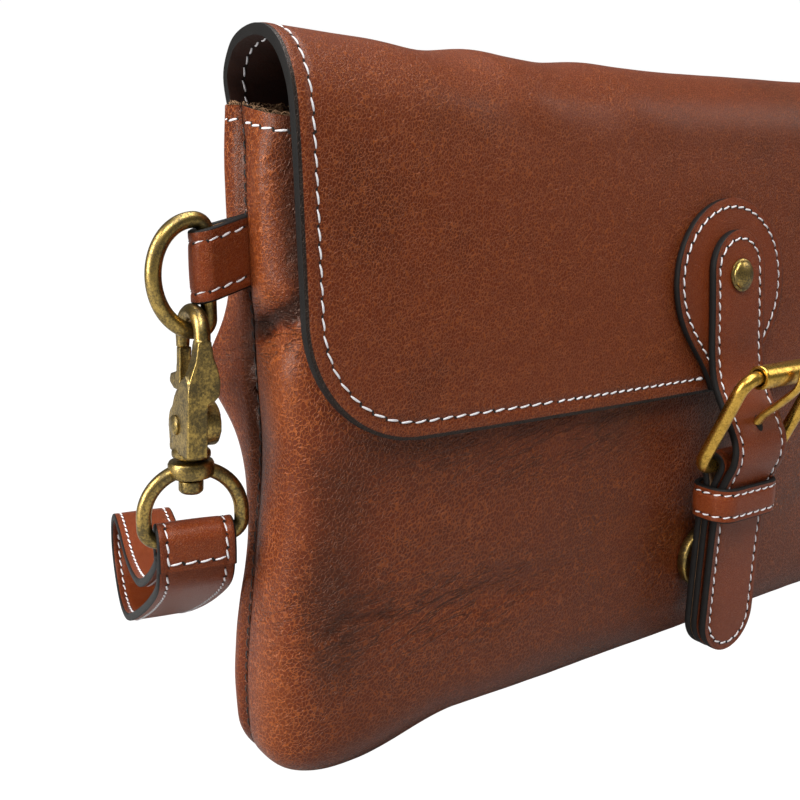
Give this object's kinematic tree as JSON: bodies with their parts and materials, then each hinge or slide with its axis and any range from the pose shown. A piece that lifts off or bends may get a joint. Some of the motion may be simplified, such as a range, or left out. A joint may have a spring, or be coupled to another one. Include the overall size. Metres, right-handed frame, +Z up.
{
  "type": "clutch bag",
  "caption": "Flap-over leather clutch bag with a buckled closure strap at the middle and a wrist strap on a snap hook at the left side seam.",
  "frame": {"origin": "on the surface the bag stands on, under the middle of the bag and the closure strap", "axes": "+X along the bag to the right as seen from the front, -Y out of the front, +Z up"},
  "size_m": [0.3293, 0.1862, 0.1972],
  "materials": {
    "leather": "oiled cognac brown, satin",
    "dark_leather": "oiled dark brown, satin",
    "antique_brass": "antique, dark patina with worn edges",
    "gold_brass": "satin antique gold"
  },
  "bodies": {
    "bag": {"front_panel": "leather", "back_panel": "leather", "flap": "leather", "strap_patch": "leather", "closure_strap": "leather", "rivet_cap": "antique_brass", "backing_strap": "dark_leather", "keeper": "leather", "buckle_frame": "gold_brass", "buckle_roller": "gold_brass", "buckle_prong": "gold_brass", "snap_disc": "antique_brass", "ring_tab": "leather", "d_ring": "antique_brass", "hook_body": "antique_brass", "trigger_pin": "antique_brass", "swivel_eye": "antique_brass", "wrist_strap": "leather"},
    "trigger": {"hook_trigger": "antique_brass"}
  },
  "joints": [
    {"name": "trigger_pivot", "type": "hinge", "parent": "bag", "child": "trigger", "pos_m": [-0.1629, 0.0052, 0.10054], "axis": [0.9984, 0, -0.0558], "range_deg": [0, 20], "stiffness_Nm_per_rad": 0.01, "springref_deg": -28.65}
  ]
}
